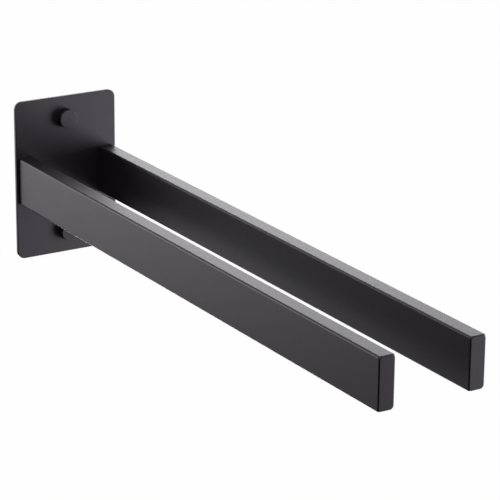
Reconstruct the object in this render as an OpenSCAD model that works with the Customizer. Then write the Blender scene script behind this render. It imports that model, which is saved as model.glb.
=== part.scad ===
// Two-arm towel rail for a bathroom wall, in millimetres.
// The wall is the plane y = 0, +Z is up, and the arms reach out along -Y.
// The origin is the middle of the wall plate's back face.

/* [Wall plate] */
// Width of the wall plate, left to right
plate_w = 70; // [60:1:110]
// Height of the wall plate
plate_h = 102; // [92:1:160]
// Thickness of the wall plate
plate_t = 2; // [2:0.1:4]
// Radius of the plate's four corners, seen from the front
plate_corner_r = 5; // [2:0.5:8]
// Rounding of the plate's front edge
plate_edge_r = 0.5; // [0.2:0.1:0.8]

/* [Arms] */
// Reach of the arms from the wall to their free ends
arm_reach = 400; // [200:5:600]
// Thickness of an arm, left to right
arm_w = 10; // [9:0.5:16]
// Height of an arm
arm_h = 30; // [26:1:40]
// Strip of plate that shows outside each arm
arm_inset = 2; // [1:0.25:6]
// Radius of the arm's long edges
arm_edge_r = 1.2; // [0.6:0.1:1.4]
// Wall thickness of the arm's tube
tube_wall = 1.5; // [1.2:0.1:2]
// Radius of the corners inside the tube
tube_inner_r = 0.4; // [0.2:0.1:0.8]
// Thickness of the plate that closes the tube's free end
end_plate_t = 2.5; // [2:0.1:5]
// Corner radius of an end plate's face, seen from the front
end_corner_r = 2.4; // [2:0.1:4]
// Rounding of an end plate's outer edges
end_edge_r = 0.8; // [0.4:0.1:1]
// Thickness of an end plate, next to the tube, that keeps the tube's outline
end_foot_t = 1.4; // [0.2:0.1:1.6]
// Length of the end cap's plug inside the tube
end_plug_len = 8; // [4:0.5:20]

/* [Arm fixing] */
// Length of the threaded anchor block at the foot of each arm
anchor_len = 14; // [13:0.5:30]
// Distance between an arm's two screws, centre to centre
arm_screw_pitch = 16; // [12:0.5:20]
// Shank diameter of the countersunk arm screws
arm_screw_d = 4; // [3:0.5:4]
// Length of an arm screw, head included
arm_screw_len = 12; // [8:1:12]
// Head diameter of the arm screws
arm_head_d = 7.5; // [6.5:0.1:7.5]
// Width across the flats of the hex socket in an arm screw
arm_socket_af = 2.5; // [2:0.1:3]
// Depth of the hex socket
arm_socket_depth = 1.2; // [0.8:0.1:1.4]

/* [Wall fixing] */
// Distance of each wall screw from the plate's top or bottom edge
wall_screw_margin = 14; // [12:0.5:16]
// Shank diameter of the wall screws
wall_screw_d = 4; // [3.5:0.1:4.2]
// Length of a wall screw, head included
wall_screw_len = 35; // [25:1:60]
// Head diameter of the wall screws
wall_head_d = 7.6; // [7:0.1:8]
// Length of the point of a wall screw
wall_point_len = 4; // [2:0.5:6]
// Span of the cross recess in the head of a wall screw
cross_span = 4.4; // [3:0.1:5]
// Width of each slot of the cross recess
cross_slot = 0.9; // [0.6:0.1:1.2]
// Depth of the cross recess
cross_depth = 1.5; // [0.8:0.1:1.8]
// Outer diameter of the wall plugs
plug_d = 6; // [5.6:0.1:6.4]
// Length of a wall plug
plug_len = 30; // [20:1:50]
// Length of the closed front part of a wall plug, before its slits start
plug_front_len = 16; // [6:1:17]
// Width of the slits in a wall plug
plug_slit = 0.8; // [0.4:0.1:1]
// Length of the tapered tip of a wall plug
plug_tip_len = 2; // [1:0.5:4]

/* [Screw caps] */
// Outer diameter of a screw cap
cap_d = 12; // [11.2:0.1:16]
// Thickness of the cap's flat face
cap_face_t = 1.4; // [0.8:0.1:4]
// Free height inside the cap, over the collar
cap_room = 0.4; // [0.2:0.1:1]
// Rounding of the cap's rim
cap_rim_r = 0.4; // [0.2:0.1:0.8]
// Outer diameter of the threaded collar that carries the cap
collar_d = 9.4; // [9:0.1:9.6]
// Height of the collar over the plate
collar_h = 2.7; // [2.5:0.1:5]
// Distance from the wall's surface to the end of the collar's spigot
collar_back = 0.3; // [0.1:0.1:0.8]
// Hole for the collar's spigot in the plate
plate_hole_d = 6.6; // [6.4:0.1:7]
// Height of the glide ring's flange under the cap
ring_t = 0.4; // [0.3:0.1:0.6]
// Step from the cap's side in to the glide ring's flange
ring_step = 0.3; // [0.2:0.05:0.4]
// Wall of the glide ring's sleeve
ring_wall = 0.3; // [0.2:0.05:0.4]
// Length of the glide ring's sleeve inside the cap
ring_sleeve = 0.6; // [0.4:0.1:0.8]

/* [Clearances] */
// Gap each side of a part pushed into the tube
tube_gap = 0.1; // [0.05:0.05:0.2]
// Gap on the radius between a screw and the hole that it fills
screw_gap = 0.05; // [0.03:0.01:0.1]
// Gap on the radius between a screw and the hole that it passes through
pass_gap = 0.15; // [0.1:0.05:0.3]
// Gap on the radius between pieces that turn or slide on each other
turn_gap = 0.05; // [0.03:0.01:0.1]
// Depth that a countersunk head lies below its surface
head_sink = 0.1; // [0.05:0.05:0.3]
// Distance from the wall's surface to the front of the plug
plug_sink = 0.3; // [0.2:0.1:1]

/* [Hidden] */
$fn = 96;

LEFT = -1;
RIGHT = 1;
UPPER = 1;
LOWER = -1;
// Extra length of a cutting shape past the surface that it cuts
OVER = 1;
// Width over the corners of a hexagon, for a width of one over its flats
HEX_CORNERS = 2 / sqrt(3);

arm_x = plate_w / 2 - arm_inset - arm_w / 2;
cap_z = plate_h / 2 - wall_screw_margin;
tube_inner_w = arm_w - 2 * tube_wall;
tube_inner_h = arm_h - 2 * tube_wall;
tube_end = arm_reach - end_plate_t;

arm_hole_r = arm_screw_d / 2 + pass_gap;
arm_sink_r = arm_head_d / 2 + head_sink + screw_gap;

collar_spigot_r = plate_hole_d / 2 - screw_gap;
collar_top = plate_t + collar_h;
wall_head_top = collar_top - head_sink;
cap_bore_r = collar_d / 2 + turn_gap;
cap_ceiling = collar_top + cap_room;
cap_top = cap_ceiling + cap_face_t;
cap_foot = plate_t + ring_t + turn_gap;
ring_sleeve_r = cap_bore_r + ring_wall;
cap_mouth_r = ring_sleeve_r + turn_gap;
cap_mouth_depth = ring_sleeve + turn_gap;

// Children are an outline in X and Z, drawn out from the wall between two distances
module out_from_wall(start, end) {
    translate([0, -start, 0])
        rotate([90, 0, 0])
            linear_extrude(end - start)
                children();
}

// Children are half of a section, with the distance from the wall along the outline's Y
module turned_out_from_wall() {
    rotate([90, 0, 0])
        rotate_extrude()
            children();
}

module rounded_rect(w, h, r) {
    square([w - 2 * r, h], center = true);
    square([w, h - 2 * r], center = true);
    for (x = [-1, 1], y = [-1, 1])
        translate([x * (w / 2 - r), y * (h / 2 - r)])
            circle(r);
}

// The waste between a square edge and its rounding, with the rounding's centre at the origin
module edge_waste(r) {
    difference() {
        square(r + OVER);
        circle(r);
    }
}

// Half section of a plain bore or disc, from one distance from the wall to another
module disc_section(r, start, end) {
    translate([0, start])
        square([r, end - start]);
}

// Wall plate

module plate_side_waste(length) {
    rotate([90, 0, 90])
        translate([0, 0, -length / 2])
            linear_extrude(length)
                mirror([1, 0])
                    edge_waste(plate_edge_r);
}

module plate_corner_waste() {
    rotate([90, 0, 0])
        rotate_extrude(angle = 90)
            translate([plate_corner_r - plate_edge_r, 0])
                edge_waste(plate_edge_r);
}

// Waste of the rounded front edge: four straight runs and four corners
module plate_edge_waste() {
    straight_w = plate_w - 2 * plate_corner_r;
    straight_h = plate_h - 2 * plate_corner_r;
    translate([0, plate_edge_r - plate_t, 0]) {
        for (flip = [0, 1])
            mirror([0, 0, flip])
                translate([0, 0, plate_h / 2 - plate_edge_r])
                    plate_side_waste(straight_w);
        for (flip = [0, 1])
            mirror([flip, 0, 0])
                translate([plate_w / 2 - plate_edge_r, 0, 0])
                    rotate([0, 90, 0])
                        plate_side_waste(straight_h);
        for (flip_x = [0, 1], flip_z = [0, 1])
            mirror([flip_x, 0, 0])
                mirror([0, 0, flip_z])
                    translate([straight_w / 2, 0, straight_h / 2])
                        plate_corner_waste();
    }
}

// Cone for an arm screw's head, open to the back of the plate
module arm_screw_sink() {
    turned_out_from_wall()
        polygon([
            [0, -OVER],
            [arm_sink_r + OVER, -OVER],
            [arm_hole_r, arm_sink_r - arm_hole_r],
            [0, arm_sink_r - arm_hole_r]
        ]);
}

module at_arm_screws(side) {
    for (z = [-1, 1])
        translate([side * arm_x, 0, z * arm_screw_pitch / 2])
            children();
}

module wall_plate() {
    color("#1d1c1f")
        difference() {
            out_from_wall(0, plate_t)
                rounded_rect(plate_w, plate_h, plate_corner_r);
            plate_edge_waste();
            for (side = [LEFT, RIGHT])
                at_arm_screws(side) {
                    arm_screw_sink();
                    out_from_wall(-OVER, plate_t + OVER)
                        circle(arm_hole_r);
                }
            for (level = [LOWER, UPPER])
                translate([0, 0, level * cap_z])
                    out_from_wall(-OVER, plate_t + OVER)
                        circle(plate_hole_d / 2);
        }
}

// Arms

module arm_tube(side) {
    color("#212023")
        translate([side * arm_x, 0, 0])
            difference() {
                out_from_wall(plate_t, tube_end)
                    rounded_rect(arm_w, arm_h, arm_edge_r);
                out_from_wall(plate_t - OVER, tube_end + OVER)
                    rounded_rect(tube_inner_w, tube_inner_h, tube_inner_r);
            }
}

// Fills the tube's inside, apart from the gap at each side
module tube_filler(start, end) {
    out_from_wall(start, end)
        rounded_rect(tube_inner_w - 2 * tube_gap, tube_inner_h - 2 * tube_gap, tube_inner_r);
}

module arm_anchor_block(side) {
    color("#6f7073")
        difference() {
            translate([side * arm_x, 0, 0])
                tube_filler(plate_t, plate_t + anchor_len);
            at_arm_screws(side) {
                arm_screw_sink();
                out_from_wall(plate_t - OVER, plate_t + anchor_len + OVER)
                    circle(arm_screw_d / 2 + screw_gap);
            }
        }
}

// Ring that rounds one corner of an end plate's face
module end_corner() {
    rotate([90, 0, 0])
        rotate_extrude()
            translate([end_corner_r - end_edge_r, 0])
                circle(end_edge_r);
}

// Plate that starts with the tube's outline and blends into the rounder outline of its face
module end_plate() {
    corner_x = arm_w / 2 - end_corner_r;
    corner_z = arm_h / 2 - end_corner_r;
    hull() {
        out_from_wall(tube_end, tube_end + end_foot_t)
            rounded_rect(arm_w, arm_h, arm_edge_r);
        for (x = [-1, 1], z = [-1, 1])
            translate([x * corner_x, end_edge_r - arm_reach, z * corner_z])
                end_corner();
    }
}

module arm_end_cap(side) {
    color("#212023")
        translate([side * arm_x, 0, 0]) {
            end_plate($fn = 32);
            tube_filler(tube_end - end_plug_len, tube_end);
        }
}

module hex_socket(depth) {
    circle_r = arm_socket_af * HEX_CORNERS / 2;
    out_from_wall(head_sink - OVER, head_sink + depth)
        circle(circle_r, $fn = 6);
}

module arm_screw() {
    head_r = arm_head_d / 2;
    shank_r = arm_screw_d / 2;
    difference() {
        turned_out_from_wall()
            polygon([
                [0, head_sink],
                [head_r, head_sink],
                [shank_r, head_sink + head_r - shank_r],
                [shank_r, arm_screw_len],
                [0, arm_screw_len]
            ]);
        hex_socket(arm_socket_depth);
    }
}

module arm_screws() {
    color("#8d8f92")
        for (side = [LEFT, RIGHT])
            at_arm_screws(side)
                arm_screw();
}

// Wall fixing

module at_wall_screws() {
    for (level = [LOWER, UPPER])
        translate([0, 0, level * cap_z])
            children();
}

module cross_recess() {
    for (turn = [0, 90])
        rotate([0, turn, 0])
            out_from_wall(wall_head_top - cross_depth, wall_head_top + OVER)
                square([cross_span, cross_slot], center = true);
}

module wall_screw() {
    head_r = wall_head_d / 2;
    shank_r = wall_screw_d / 2;
    point = wall_head_top - wall_screw_len;
    difference() {
        turned_out_from_wall()
            polygon([
                [0, point],
                [shank_r, point + wall_point_len],
                [shank_r, wall_head_top - head_r + shank_r],
                [head_r, wall_head_top],
                [0, wall_head_top]
            ]);
        cross_recess();
    }
}

module wall_screws() {
    color("#8d8f92")
        at_wall_screws()
            wall_screw();
}

module plug_slits() {
    for (turn = [0, 90])
        rotate([0, turn, 0])
            out_from_wall(-plug_sink - plug_len - OVER, -plug_sink - plug_front_len)
                square([plug_d + OVER, plug_slit], center = true);
}

module wall_plug() {
    bore_r = wall_screw_d / 2 + screw_gap;
    plug_r = plug_d / 2;
    tip_r = (plug_r + bore_r) / 2;
    plug_end = -plug_sink - plug_len;
    difference() {
        turned_out_from_wall()
            polygon([
                [bore_r, -plug_sink],
                [plug_r, -plug_sink],
                [plug_r, plug_end + plug_tip_len],
                [tip_r, plug_end],
                [bore_r, plug_end]
            ]);
        plug_slits();
    }
}

module wall_plugs() {
    color("#b9b9b4")
        at_wall_screws()
            wall_plug();
}

// Screw caps

// Threaded disc that the wall screw clamps to the plate; its spigot centres it in the plate's hole
module cap_collar(level) {
    hole_r = wall_screw_d / 2 + pass_gap;
    sink_r = wall_head_d / 2 + head_sink + screw_gap;
    color("#8a7a4e")
        translate([0, 0, level * cap_z])
            difference() {
                turned_out_from_wall() {
                    disc_section(collar_spigot_r, collar_back, collar_top);
                    disc_section(collar_d / 2, plate_t, collar_top);
                }
                turned_out_from_wall() {
                    disc_section(hole_r, -OVER, collar_top + OVER);
                    polygon([
                        [0, collar_top - sink_r + hole_r],
                        [hole_r, collar_top - sink_r + hole_r],
                        [sink_r + OVER, collar_top + OVER],
                        [0, collar_top + OVER]
                    ]);
                }
            }
}

// Nylon ring between cap and plate: a flange, and a sleeve that sits in the cap's mouth
module glide_ring(level) {
    flange_r = cap_d / 2 - ring_step;
    start = plate_t + turn_gap / 2;
    color("#26262a")
        translate([0, 0, level * cap_z])
            difference() {
                turned_out_from_wall() {
                    disc_section(flange_r, start, plate_t + ring_t);
                    disc_section(ring_sleeve_r, start, plate_t + ring_t + ring_sleeve);
                }
                out_from_wall(0, cap_top)
                    circle(cap_bore_r);
            }
}

// Half section of the cap, with the rounding of its rim
module cap_section() {
    outer_r = cap_d / 2;
    disc_section(outer_r, cap_foot, cap_top - cap_rim_r);
    disc_section(outer_r - cap_rim_r, cap_foot, cap_top);
    translate([outer_r - cap_rim_r, cap_top - cap_rim_r])
        circle(cap_rim_r);
}

module screw_cap(level) {
    color("#1f1e21")
        translate([0, 0, level * cap_z])
            difference() {
                turned_out_from_wall()
                    cap_section();
                turned_out_from_wall() {
                    disc_section(cap_bore_r, 0, cap_ceiling);
                    disc_section(cap_mouth_r, 0, cap_foot + cap_mouth_depth);
                }
            }
}

wall_plate();
arm_tube(LEFT);  // left_arm_tube
arm_tube(RIGHT);  // right_arm_tube
arm_anchor_block(LEFT);  // left_arm_anchor_block
arm_anchor_block(RIGHT);  // right_arm_anchor_block
arm_end_cap(LEFT);  // left_arm_end_cap
arm_end_cap(RIGHT);  // right_arm_end_cap
arm_screws();
wall_screws();
wall_plugs();
cap_collar(UPPER);  // upper_cap_collar
cap_collar(LOWER);  // lower_cap_collar
glide_ring(UPPER);  // upper_glide_ring
glide_ring(LOWER);  // lower_glide_ring
screw_cap(UPPER);  // upper_screw_cap
screw_cap(LOWER);  // lower_screw_cap
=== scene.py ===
import math

import bmesh
import bpy
from mathutils import Matrix, Vector


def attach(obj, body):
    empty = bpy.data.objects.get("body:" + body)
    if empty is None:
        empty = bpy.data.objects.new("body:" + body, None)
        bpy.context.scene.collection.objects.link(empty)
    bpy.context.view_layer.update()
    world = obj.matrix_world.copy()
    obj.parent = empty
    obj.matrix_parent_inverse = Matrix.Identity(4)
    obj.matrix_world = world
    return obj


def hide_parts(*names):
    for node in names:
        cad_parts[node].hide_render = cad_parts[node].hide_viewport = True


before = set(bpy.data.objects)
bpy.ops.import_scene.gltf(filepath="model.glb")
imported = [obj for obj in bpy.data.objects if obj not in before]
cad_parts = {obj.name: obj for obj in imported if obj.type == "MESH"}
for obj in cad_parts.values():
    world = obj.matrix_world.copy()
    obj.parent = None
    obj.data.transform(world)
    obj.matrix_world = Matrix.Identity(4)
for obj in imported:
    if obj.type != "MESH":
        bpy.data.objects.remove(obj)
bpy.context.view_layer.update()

MM = 0.001

# Camera, at the photograph's viewing angle
CAMERA_EYE = (-0.70458, -1.36690, 0.46639)
CAMERA_AZIMUTH = -31.639
CAMERA_ELEVATION = 18.613
CAMERA_ROLL = 0.504
CAMERA_LENS_MM = 182.67
SENSOR_MM = 36.0
CAMERA_FAR = 100.0

# Studio. Angles are degrees round the middle of the arms.
# Azimuth 0 is behind the wall plate, and 90 is on its right.
STUDIO_CENTRE = (0.0, -0.2, 0.0)
FLOOR_Z = -2.4
FLOOR_HALF = 30.0
FLOOR_COLOUR = 0.9
# Share of plain white in the floor, as the camera and reflections see it
FLOOR_WHITE = 0.99
# Strength of the world as a light. The camera and reflections see it as plain white.
WORLD_LEVEL = 0.18
LAMP_DISTANCE = 0.9
# name, azimuth, elevation, width and height in degrees, brightness (1 is white)
SOFTBOXES = [
    ("right_softbox", 115.0, -12.9, 30.3, 41.1, 6.45),
    ("back_left_softbox", 319.8, 3.1, 29.1, 27.4, 4.06),
    ("back_right_softbox", 37.1, 12.0, 31.4, 22.7, 4.87),
    ("low_back_softbox", 10.0, -34.0, 20.0, 24.0, 6.5),
]
CARD_DISTANCE = 1.3
CARD_COLOUR = 0.01
CARD_STEPS = 12
# lowest and highest azimuth, lowest and highest elevation
DARK_CARDS = [
    (143.1, 300.0, -90.0, 23.4),
    (300.0, 360.0, 30.0, 90.0),
    (300.0, 360.0, -90.0, -20.5),
    (60.0, 143.1, 40.0, 90.0),
]

# The middle part of a noise that is spread over a whole range
NOISE_LOW = 0.3
NOISE_HIGH = 0.7
# The middle part of a noise over which one colour turns into the other
RAMP_LOW = 0.35
RAMP_HIGH = 0.65
NOISE_DETAIL = 3.0
NOISE_ROUGHNESS = 0.5
BLACK_COLOURS = ((0.0180, 0.0150, 0.0200), (0.0210, 0.0175, 0.0230))
BLACK_TINT = (0.948, 0.878, 1.0)

# Sizes in mm, as in the part's source. Distances from the wall grow towards the room.
ARM_X = 28.0
ARM_SCREW_Z = 8.0
CAP_Z = 37.0
PLATE_T = 2.0
COLLAR_TOP = 4.7
COLLAR_R = 4.7
COLLAR_THREAD_PITCH = 0.75
WALL_HEAD_TOP = 4.6
WALL_POINT = -30.4
PLUG_FRONT = -0.3
PLUG_END = -30.3

# Points round an axis, and rows of points in one turn of a thread
SEGMENTS = 96
THREAD_ROWS_PER_TURN = 8
# Points closer than this are joined
MERGE_MM = 0.002
# Edges that turn by more than this are shaded sharp
SMOOTH_ANGLE = 40.0


def add_object(name, mesh):
    obj = bpy.data.objects.new(name, mesh)
    bpy.context.scene.collection.objects.link(obj)
    return obj


def new_material(name):
    material = bpy.data.materials.new(name)
    material.use_nodes = True
    material.node_tree.nodes.clear()
    return material, material.node_tree.nodes, material.node_tree.links


# Studio

def add_camera():
    camera = bpy.data.cameras.new("camera")
    camera.lens = CAMERA_LENS_MM
    camera.sensor_width = SENSOR_MM
    camera.clip_end = CAMERA_FAR
    obj = add_object("camera", camera)
    turn = Matrix.Rotation(math.radians(CAMERA_AZIMUTH), 4, "Z")
    tilt = Matrix.Rotation(math.radians(90.0 - CAMERA_ELEVATION), 4, "X")
    roll = Matrix.Rotation(math.radians(CAMERA_ROLL), 4, "Z")
    obj.matrix_world = Matrix.Translation(CAMERA_EYE) @ turn @ tilt @ roll
    bpy.context.scene.camera = obj


def seen_directly_or_in_gloss(nodes, links):
    """A value that is 1 for camera, glossy and transmission rays and 0 for others."""
    path = nodes.new("ShaderNodeLightPath")
    value = path.outputs["Is Camera Ray"]
    for name in ("Is Glossy Ray", "Is Transmission Ray"):
        most = nodes.new("ShaderNodeMath")
        most.operation = "MAXIMUM"
        links.new(value, most.inputs[0])
        links.new(path.outputs[name], most.inputs[1])
        value = most.outputs[0]
    return value


def add_world():
    """A pale world: weak as a light, and plain white to the camera and in reflections."""
    world = bpy.data.worlds.new("studio")
    bpy.context.scene.world = world
    world.use_nodes = True
    nodes, links = world.node_tree.nodes, world.node_tree.links
    nodes.clear()
    level = nodes.new("ShaderNodeMapRange")
    level.inputs["To Min"].default_value = WORLD_LEVEL
    level.inputs["To Max"].default_value = 1.0
    links.new(seen_directly_or_in_gloss(nodes, links), level.inputs["Value"])
    background = nodes.new("ShaderNodeBackground")
    background.inputs["Color"].default_value = (1, 1, 1, 1)
    links.new(level.outputs[0], background.inputs["Strength"])
    output = nodes.new("ShaderNodeOutputWorld")
    links.new(background.outputs[0], output.inputs["Surface"])


def studio_direction(azimuth, elevation):
    a, e = math.radians(azimuth), math.radians(elevation)
    return Vector((math.sin(a) * math.cos(e), math.cos(a) * math.cos(e), math.sin(e)))


def add_softbox(name, azimuth, elevation, width, height, brightness):
    """An area lamp that faces the middle of the arms. Its power makes its face as bright as asked."""
    lamp = bpy.data.lights.new(name, "AREA")
    lamp.shape = "RECTANGLE"
    lamp.size = 2 * LAMP_DISTANCE * math.tan(math.radians(width / 2))
    lamp.size_y = 2 * LAMP_DISTANCE * math.tan(math.radians(height / 2))
    lamp.energy = brightness * math.pi * lamp.size * lamp.size_y
    obj = add_object(name, lamp)
    direction = studio_direction(azimuth, elevation)
    place = Vector(STUDIO_CENTRE) + direction * LAMP_DISTANCE
    obj.matrix_world = Matrix.Translation(place) @ direction.to_track_quat("Z", "Y").to_matrix().to_4x4()
    obj.visible_camera = False


def dark_card_mesh(name, low_az, high_az, low_el, high_el):
    """A piece of a sphere round the studio's centre, between two azimuths and two elevations."""
    verts = []
    for i in range(CARD_STEPS + 1):
        for j in range(CARD_STEPS + 1):
            azimuth = low_az + (high_az - low_az) * i / CARD_STEPS
            elevation = low_el + (high_el - low_el) * j / CARD_STEPS
            verts.append(Vector(STUDIO_CENTRE) + studio_direction(azimuth, elevation) * CARD_DISTANCE)
    faces = []
    for i in range(CARD_STEPS):
        for j in range(CARD_STEPS):
            corner = i * (CARD_STEPS + 1) + j
            faces.append((corner, corner + 1, corner + CARD_STEPS + 2, corner + CARD_STEPS + 1))
    mesh = bpy.data.meshes.new(name)
    mesh.from_pydata(verts, [], faces)
    return mesh


def add_dark_card(index, low_az, high_az, low_el, high_el):
    """A curved dark card that shows only in reflections, so that it takes no light from the object."""
    mesh = dark_card_mesh(f"dark_card_{index}", low_az, high_az, low_el, high_el)
    obj = add_object(mesh.name, mesh)
    material, nodes, links = new_material(mesh.name)
    diffuse = nodes.new("ShaderNodeBsdfDiffuse")
    diffuse.inputs["Color"].default_value = (CARD_COLOUR, CARD_COLOUR, CARD_COLOUR, 1)
    output = nodes.new("ShaderNodeOutputMaterial")
    links.new(diffuse.outputs[0], output.inputs["Surface"])
    mesh.materials.append(material)
    obj.visible_camera = False
    obj.visible_diffuse = False
    obj.visible_shadow = False


def floor_finish():
    """A pale floor, nearly plain white to the camera and in reflections."""
    material, nodes, links = new_material("studio_floor")
    diffuse = nodes.new("ShaderNodeBsdfDiffuse")
    diffuse.inputs["Color"].default_value = (FLOOR_COLOUR, FLOOR_COLOUR, FLOOR_COLOUR, 1)
    white = nodes.new("ShaderNodeEmission")
    shown = nodes.new("ShaderNodeMixShader")
    share = nodes.new("ShaderNodeMath")
    share.operation = "MULTIPLY"
    share.inputs[1].default_value = FLOOR_WHITE
    links.new(seen_directly_or_in_gloss(nodes, links), share.inputs[0])
    links.new(share.outputs[0], shown.inputs[0])
    links.new(diffuse.outputs[0], shown.inputs[1])
    links.new(white.outputs[0], shown.inputs[2])
    output = nodes.new("ShaderNodeOutputMaterial")
    links.new(shown.outputs[0], output.inputs["Surface"])
    return material


def add_floor():
    mesh = bpy.data.meshes.new("studio_floor")
    corners = [(-1, -1), (1, -1), (1, 1), (-1, 1)]
    mesh.from_pydata([(x * FLOOR_HALF, y * FLOOR_HALF, FLOOR_Z) for x, y in corners], [], [(0, 1, 2, 3)])
    floor = add_object("studio_floor", mesh)
    mesh.materials.append(floor_finish())


# Materials

def spots(nodes, links, scale, detail=NOISE_DETAIL):
    """Noise fixed to the piece, with about scale spots to the metre."""
    place = nodes.new("ShaderNodeTexCoord")
    noise = nodes.new("ShaderNodeTexNoise")
    noise.inputs["Scale"].default_value = scale
    noise.inputs["Detail"].default_value = detail
    noise.inputs["Roughness"].default_value = NOISE_ROUGHNESS
    links.new(place.outputs["Object"], noise.inputs["Vector"])
    return noise.outputs["Fac"]


def spread(nodes, links, value, low, high):
    """Maps the useful middle of a noise to a range."""
    mapped = nodes.new("ShaderNodeMapRange")
    mapped.inputs["From Min"].default_value = NOISE_LOW
    mapped.inputs["From Max"].default_value = NOISE_HIGH
    mapped.inputs["To Min"].default_value = low
    mapped.inputs["To Max"].default_value = high
    links.new(value, mapped.inputs["Value"])
    return mapped.outputs[0]


def blend_colours(nodes, links, value, low, high):
    """Turns a noise into shades between two colours."""
    ramp = nodes.new("ShaderNodeValToRGB")
    ramp.color_ramp.elements[0].position = RAMP_LOW
    ramp.color_ramp.elements[0].color = (*low, 1)
    ramp.color_ramp.elements[1].position = RAMP_HIGH
    ramp.color_ramp.elements[1].color = (*high, 1)
    links.new(value, ramp.inputs["Fac"])
    return ramp.outputs["Color"]


def relief(nodes, links, layers):
    """Stacked bumps. Each layer is a height from 0 to 1 and its depth in metres."""
    normal = None
    for height, depth in layers:
        bump = nodes.new("ShaderNodeBump")
        bump.inputs["Strength"].default_value = 1.0
        bump.inputs["Distance"].default_value = depth
        links.new(height, bump.inputs["Height"])
        if normal is not None:
            links.new(normal, bump.inputs["Normal"])
        normal = bump.outputs["Normal"]
    return normal


def finish_surface(name, colours, tone_scale, rough, rough_scale, layers,
                   metallic=0.0, specular=0.5, tint=None):
    """A surface whose colour, roughness and relief all vary a little.

    The layers of its relief are (scale, detail, depth), and scales are spots to the metre.
    """
    material, nodes, links = new_material(name)
    shader = nodes.new("ShaderNodeBsdfPrincipled")
    shader.inputs["Metallic"].default_value = metallic
    shader.inputs["Specular IOR Level"].default_value = specular
    if tint is not None:
        shader.inputs["Specular Tint"].default_value = (*tint, 1)
    colour = blend_colours(nodes, links, spots(nodes, links, tone_scale), *colours)
    links.new(colour, shader.inputs["Base Color"])
    roughness = spread(nodes, links, spots(nodes, links, rough_scale), *rough)
    links.new(roughness, shader.inputs["Roughness"])
    heights = [(spots(nodes, links, scale, detail), depth) for scale, detail, depth in layers]
    links.new(relief(nodes, links, heights), shader.inputs["Normal"])
    output = nodes.new("ShaderNodeOutputMaterial")
    links.new(shader.outputs[0], output.inputs["Surface"])
    return material


def powder_coat():
    """Satin black powder coat: a soft orange peel with a fine grain in it."""
    return finish_surface(
        "satin_black_coat",
        colours=BLACK_COLOURS,
        tone_scale=90.0,
        rough=(0.465, 0.495),
        rough_scale=400.0,
        layers=[(700.0, 2.0, 1.2e-5), (3500.0, 2.0, 8.0e-6)],
        specular=0.61,
        tint=BLACK_TINT,
    )


def cap_finish():
    """The caps' black lacquer, a little smoother than the coat."""
    return finish_surface(
        "satin_black_cap",
        colours=BLACK_COLOURS,
        tone_scale=200.0,
        rough=(0.41, 0.46),
        rough_scale=900.0,
        layers=[(1500.0, 2.0, 3.0e-6)],
        specular=0.62,
        tint=BLACK_TINT,
    )


def zinc_plate():
    """Zinc-plated steel: blue-grey, with faint cloudy patches."""
    return finish_surface(
        "bright_zinc",
        colours=((0.38, 0.40, 0.43), (0.50, 0.51, 0.53)),
        tone_scale=500.0,
        rough=(0.26, 0.40),
        rough_scale=1200.0,
        layers=[(2500.0, 4.0, 1.5e-6)],
        metallic=1.0,
    )


def stainless():
    """Bright stainless steel of the wall screws."""
    return finish_surface(
        "bright_stainless",
        colours=((0.54, 0.53, 0.51), (0.66, 0.65, 0.63)),
        tone_scale=700.0,
        rough=(0.18, 0.30),
        rough_scale=1500.0,
        layers=[(4000.0, 3.0, 8.0e-7)],
        metallic=1.0,
    )


def brass():
    """Turned brass of the cap collars."""
    return finish_surface(
        "turned_brass",
        colours=((0.64, 0.44, 0.19), (0.78, 0.57, 0.28)),
        tone_scale=600.0,
        rough=(0.20, 0.34),
        rough_scale=1500.0,
        layers=[(4000.0, 3.0, 8.0e-7)],
        metallic=1.0,
    )


def plug_nylon():
    """Moulded grey nylon, slightly cloudy."""
    return finish_surface(
        "grey_plug_nylon",
        colours=((0.28, 0.28, 0.27), (0.34, 0.34, 0.33)),
        tone_scale=250.0,
        rough=(0.42, 0.55),
        rough_scale=900.0,
        layers=[(1200.0, 3.0, 8.0e-6)],
        specular=0.45,
    )


def glide_nylon():
    """Black nylon of the glide rings."""
    return finish_surface(
        "black_glide_nylon",
        colours=((0.016, 0.016, 0.018), (0.022, 0.022, 0.024)),
        tone_scale=500.0,
        rough=(0.40, 0.52),
        rough_scale=1200.0,
        layers=[(2000.0, 2.0, 3.0e-6)],
        specular=0.45,
    )


def dress_nodes(materials):
    """Gives every CAD node that stays in view its finish."""
    for name, material in materials.items():
        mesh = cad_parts[name].data
        mesh.materials.clear()
        mesh.materials.append(material)


# Tools for the pieces

def out_point(radius, angle, out, centre):
    """A point round an axis that stands on the wall; out is the distance from the wall towards the room."""
    x, z = centre
    return Vector(((x + radius * math.sin(angle)) * MM, -out * MM, (z + radius * math.cos(angle)) * MM))


def lathe(bm, profile, centre, closed=False):
    """Turns a profile of (radius, out) points round an axis. A radius of 0 makes a single point there."""
    rings = []
    for radius, out in profile:
        if radius == 0:
            ring = [bm.verts.new(out_point(0, 0, out, centre))] * SEGMENTS
        else:
            angles = [math.tau * k / SEGMENTS for k in range(SEGMENTS)]
            ring = [bm.verts.new(out_point(radius, angle, out, centre)) for angle in angles]
        rings.append(ring)
    pairs = list(zip(rings, rings[1:]))
    if closed:
        pairs.append((rings[-1], rings[0]))
    for near, far in pairs:
        for k in range(SEGMENTS):
            n = (k + 1) % SEGMENTS
            corners = [near[k], near[n], far[n], far[k]]
            loop = [v for i, v in enumerate(corners) if v is not corners[i - 1]]
            if len(loop) > 2:
                bm.faces.new(loop)


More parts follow.
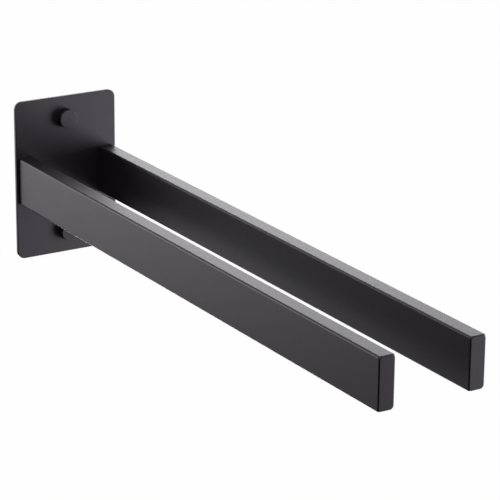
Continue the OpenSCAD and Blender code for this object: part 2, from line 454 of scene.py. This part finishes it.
def thread(bm, start, end, pitch, core, crest, width, centre):
    """A right-hand thread whose rows follow the helix.

    core and crest give the radius at a distance from the wall. width is half the ridge's share of the pitch.
    """
    rows = int(math.ceil((end - start) / pitch * THREAD_ROWS_PER_TURN)) + THREAD_ROWS_PER_TURN + 1
    grid = []
    for i in range(rows):
        row = []
        for k in range(SEGMENTS + 1):
            out = start + pitch * (i / THREAD_ROWS_PER_TURN - k / SEGMENTS)
            out = min(max(out, start), end)
            phase = (-(out - start) / pitch - k / SEGMENTS) % 1.0
            ridge = max(0.0, 1.0 - abs(phase - 0.5) / width)
            radius = core(out) + (crest(out) - core(out)) * ridge
            row.append(bm.verts.new(out_point(radius, math.tau * k / SEGMENTS, out, centre)))
        grid.append(row)
    for near, far in zip(grid, grid[1:]):
        for k in range(SEGMENTS):
            bm.faces.new((near[k], near[k + 1], far[k + 1], far[k]))


def ramp_between(value, start, end):
    """0 at start, 1 at end, and straight between them."""
    return min(max((value - start) / (end - start), 0.0), 1.0)


def add_box(bm, near_end, far_end, centre):
    """A tapered block along an axis that stands on the wall. Each end is (half width, half height, out)."""
    rings = []
    for half_w, half_h, out in (near_end, far_end):
        corners = [(-half_w, -half_h), (half_w, -half_h), (half_w, half_h), (-half_w, half_h)]
        ring = [((centre[0] + x) * MM, -out * MM, (centre[1] + z) * MM) for x, z in corners]
        rings.append([bm.verts.new(point) for point in ring])
    near, far = rings
    bm.faces.new(near)
    bm.faces.new(far)
    for k in range(4):
        n = (k + 1) % 4
        bm.faces.new((near[k], near[n], far[n], far[k]))


def clean_mesh(bm):
    bmesh.ops.remove_doubles(bm, verts=bm.verts, dist=MERGE_MM * MM)
    bmesh.ops.dissolve_degenerate(bm, edges=bm.edges, dist=MERGE_MM * MM)
    bmesh.ops.recalc_face_normals(bm, faces=bm.faces)


def shade(mesh):
    """Smooth shading that keeps the clear edges sharp."""
    mesh.shade_smooth()
    mesh.set_sharp_from_angle(angle=math.radians(SMOOTH_ANGLE))


def finished_piece(name, bm, material, body):
    """Makes a piece's object, which rides on a body of the CAD model."""
    clean_mesh(bm)
    mesh = bpy.data.meshes.new(name)
    bm.to_mesh(mesh)
    bm.free()
    obj = add_object(name, mesh)
    mesh.materials.append(material)
    shade(mesh)
    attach(obj, body)
    return obj


def carve(obj, cutter_bm):
    """Takes the cutter's shape out of a piece.

    A cutter that crosses itself would empty the piece, so crossing slots are cut one after the other.
    """
    clean_mesh(cutter_bm)
    mesh = bpy.data.meshes.new("cutter")
    cutter_bm.to_mesh(mesh)
    cutter_bm.free()
    cutter = add_object("cutter", mesh)
    carving = obj.modifiers.new("carving", "BOOLEAN")
    carving.operation = "DIFFERENCE"
    carving.solver = "EXACT"
    carving.object = cutter
    bpy.context.view_layer.update()
    carved = bpy.data.meshes.new_from_object(obj.evaluated_get(bpy.context.evaluated_depsgraph_get()))
    obj.modifiers.clear()
    shade(carved)
    obj.data = carved
    bpy.data.objects.remove(cutter)


# Wall screws

def wall_screw_form(bm, centre):
    """A countersunk screw whose core and thread taper to a point."""
    core_r = 1.4
    crest_r = 2.0
    tip_r = 0.05
    tip_length = 0.1
    core_taper = 4.0
    crest_taper = 3.5
    thread_fade = 2.0
    thread_start = WALL_POINT + tip_length
    thread_end = 1.6
    pitch = 1.8
    ridge_width = 0.3
    # The radius that the head's cone would have at its top, without the bevel
    cone_r = 3.8
    head_r = 3.75
    face_r = 3.7
    head_bevel = 0.05

    def core(out):
        return tip_r + (core_r - tip_r) * ramp_between(out, thread_start, thread_start + core_taper)

    def crest(out):
        grow = ramp_between(out, thread_start, thread_start + crest_taper)
        fade = ramp_between(out, thread_end, thread_end - thread_fade)
        return core(out) + (crest_r - core_r) * (grow * fade)

    thread(bm, thread_start, thread_end, pitch, core, crest, ridge_width, centre)
    head = [
        (core_r, thread_end),
        (core_r, WALL_HEAD_TOP - cone_r + core_r),
        (head_r, WALL_HEAD_TOP - head_bevel),
        (face_r, WALL_HEAD_TOP),
        (0, WALL_HEAD_TOP),
    ]
    lathe(bm, head, centre)
    lathe(bm, [(0, WALL_POINT), (tip_r, thread_start)], centre)


def wall_screws(material):
    """Two wall screws with a cross recess, made of two tapered slots."""
    recess_depth = 1.5
    cut_over = 0.2
    # Half length and half width of a slot, at its bottom and at its mouth
    bottom_half = (1.0, 0.3)
    mouth_half = (2.3, 0.5)
    low = WALL_HEAD_TOP - recess_depth
    high = WALL_HEAD_TOP + cut_over
    bm = bmesh.new()
    wide_slot = bmesh.new()
    tall_slot = bmesh.new()
    for level in (-1, 1):
        centre = (0.0, level * CAP_Z)
        wall_screw_form(bm, centre)
        add_box(wide_slot, (*bottom_half, low), (*mouth_half, high), centre)
        add_box(tall_slot, (*reversed(bottom_half), low), (*reversed(mouth_half), high), centre)
    obj = finished_piece("threaded_wall_screws", bm, material, "root")
    carve(obj, wide_slot)
    carve(obj, tall_slot)
    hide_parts("wall_screws")


# Wall plugs

def plug_profile():
    """Half section of a plug: a smooth front band, then sawtooth ribs, then a slimmer end."""
    bore_r = 2.05
    front_r = 2.9
    rib_r = 3.0
    neck_r = 2.7
    groove_r = 2.68
    tail_r = 2.45
    end_r = 2.35
    front_bevel = 0.15
    front_band = 1.2
    front_length = 1.5
    first_rib = 3.5
    rib_pitch = 2.0
    rib_rise = 0.25
    rib_crest = 0.5
    rib_length = 1.3
    last_rib = 3.0
    tail_length = 2.0
    end_bevel = 0.2
    profile = [
        (bore_r, PLUG_FRONT),
        (front_r, PLUG_FRONT),
        (rib_r, PLUG_FRONT - front_bevel),
        (rib_r, PLUG_FRONT - front_band),
        (neck_r, PLUG_FRONT - front_length),
    ]
    rib = PLUG_FRONT - first_rib
    while rib > PLUG_END + last_rib:
        profile += [
            (groove_r, rib),
            (rib_r, rib - rib_rise),
            (rib_r, rib - rib_crest),
            (groove_r, rib - rib_length),
        ]
        rib -= rib_pitch
    profile += [
        (neck_r, PLUG_END + tail_length),
        (tail_r, PLUG_END + end_bevel),
        (end_r, PLUG_END),
        (bore_r, PLUG_END),
    ]
    return profile


def wall_plugs(material):
    """Ribbed plugs whose front half is whole, and whose rear half is slit into four fingers."""
    slit_half_length = 3.5
    slit_half_width = 0.4
    whole_length = 16.0
    cut_over = 1.0
    low = PLUG_END - cut_over
    high = PLUG_FRONT - whole_length
    # Half width and half height of a slit
    wide = (slit_half_length, slit_half_width)
    tall = (slit_half_width, slit_half_length)
    bm = bmesh.new()
    wide_slits = bmesh.new()
    tall_slits = bmesh.new()
    for level in (-1, 1):
        centre = (0.0, level * CAP_Z)
        lathe(bm, plug_profile(), centre, closed=True)
        add_box(wide_slits, (*wide, low), (*wide, high), centre)
        add_box(tall_slits, (*tall, low), (*tall, high), centre)
    obj = finished_piece("ribbed_wall_plugs", bm, material, "root")
    carve(obj, wide_slits)
    carve(obj, tall_slits)
    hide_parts("wall_plugs")


# Cap collars

def cap_collar(name, level, material):
    """Brass collar with the fine outside thread that its cap turns on."""
    thread_depth = 0.3
    thread_fade = 0.3
    ridge_width = 0.45
    core_r = COLLAR_R - thread_depth
    foot_r = 3.25
    foot_face_r = 3.15
    foot_bevel_out = 0.4
    foot_out = 0.3
    bore_r = 2.15
    bore_end = 2.9
    mouth_r = 3.95
    centre = (0.0, level * CAP_Z)
    bm = bmesh.new()

    def crest(out):
        grow = ramp_between(out, PLATE_T, PLATE_T + thread_fade)
        fade = ramp_between(out, COLLAR_TOP, COLLAR_TOP - thread_fade)
        return core_r + thread_depth * (grow * fade)

    thread(bm, PLATE_T, COLLAR_TOP, COLLAR_THREAD_PITCH, lambda out: core_r, crest, ridge_width, centre)
    section = [
        (core_r, PLATE_T),
        (foot_r, PLATE_T),
        (foot_r, foot_bevel_out),
        (foot_face_r, foot_out),
        (bore_r, foot_out),
        (bore_r, bore_end),
        (mouth_r, COLLAR_TOP),
        (core_r, COLLAR_TOP),
    ]
    lathe(bm, section, centre)
    obj = finished_piece(f"threaded_{name}", bm, material, "root")
    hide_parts(name)


# Arm screws

def arm_screw_form(bm, centre):
    """A countersunk machine screw, its head towards the wall."""
    core_r = 1.62
    crest_r = 1.98
    thread_start = 2.2
    thread_end = 11.7
    start_fade = 0.7
    end_fade = 0.5
    pitch = 0.7
    ridge_width = 0.5
    head_out = 0.1
    face_r = 3.65
    head_r = 3.75
    head_bevel_out = 0.2
    neck_r = 1.95
    neck_out = 2.0
    point_r = 1.35
    point_out = 12.0

    def crest(out):
        grow = ramp_between(out, thread_start, thread_start + start_fade)
        fade = ramp_between(out, thread_end, thread_end - end_fade)
        return core_r + (crest_r - core_r) * (grow * fade)

    head = [
        (0, head_out),
        (face_r, head_out),
        (head_r, head_bevel_out),
        (neck_r, neck_out),
        (core_r, thread_start),
    ]
    lathe(bm, head, centre)
    thread(bm, thread_start, thread_end, pitch, lambda out: core_r, crest, ridge_width, centre)
    lathe(bm, [(core_r, thread_end), (point_r, point_out), (0, point_out)], centre)


def hex_socket_form(bm, centre):
    """A hexagonal block with a pointed bottom, 2.5 mm across its flats."""
    sides = 6
    across_flats = 2.5
    mouth_out = -0.5
    bottom_out = 1.2
    tip_out = 1.5
    radius = across_flats / math.sqrt(3)
    rings = []
    for out in (mouth_out, bottom_out):
        angles = [math.tau * k / sides for k in range(sides)]
        rings.append([bm.verts.new(out_point(radius, angle, out, centre)) for angle in angles])
    near, far = rings
    tip = bm.verts.new(out_point(0, 0, tip_out, centre))
    bm.faces.new(near)
    for k in range(sides):
        n = (k + 1) % sides
        bm.faces.new((near[k], near[n], far[n], far[k]))
        bm.faces.new((far[k], far[n], tip))


def arm_screws(material):
    """The four screws that hold the arms, with a hex socket each."""
    bm = bmesh.new()
    sockets = bmesh.new()
    for side in (-1, 1):
        for level in (-1, 1):
            centre = (side * ARM_X, level * ARM_SCREW_Z)
            arm_screw_form(bm, centre)
            hex_socket_form(sockets, centre)
    obj = finished_piece("threaded_arm_screws", bm, material, "root")
    carve(obj, sockets)
    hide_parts("arm_screws")


add_camera()
add_world()
for softbox in SOFTBOXES:
    add_softbox(*softbox)
for index, card in enumerate(DARK_CARDS):
    add_dark_card(index, *card)
add_floor()

coat = powder_coat()
cap_black = cap_finish()
zinc = zinc_plate()
glide = glide_nylon()
collar_brass = brass()
dress_nodes({
    "wall_plate": coat,
    "left_arm_tube": coat,
    "right_arm_tube": coat,
    "left_arm_end_cap": coat,
    "right_arm_end_cap": coat,
    "upper_screw_cap": cap_black,
    "lower_screw_cap": cap_black,
    "left_arm_anchor_block": zinc,
    "right_arm_anchor_block": zinc,
    "upper_glide_ring": glide,
    "lower_glide_ring": glide,
})
wall_screws(stainless())
wall_plugs(plug_nylon())
arm_screws(zinc)
cap_collar("upper_cap_collar", 1, collar_brass)
cap_collar("lower_cap_collar", -1, collar_brass)
bpy.context.scene.view_settings.view_transform = "Standard"
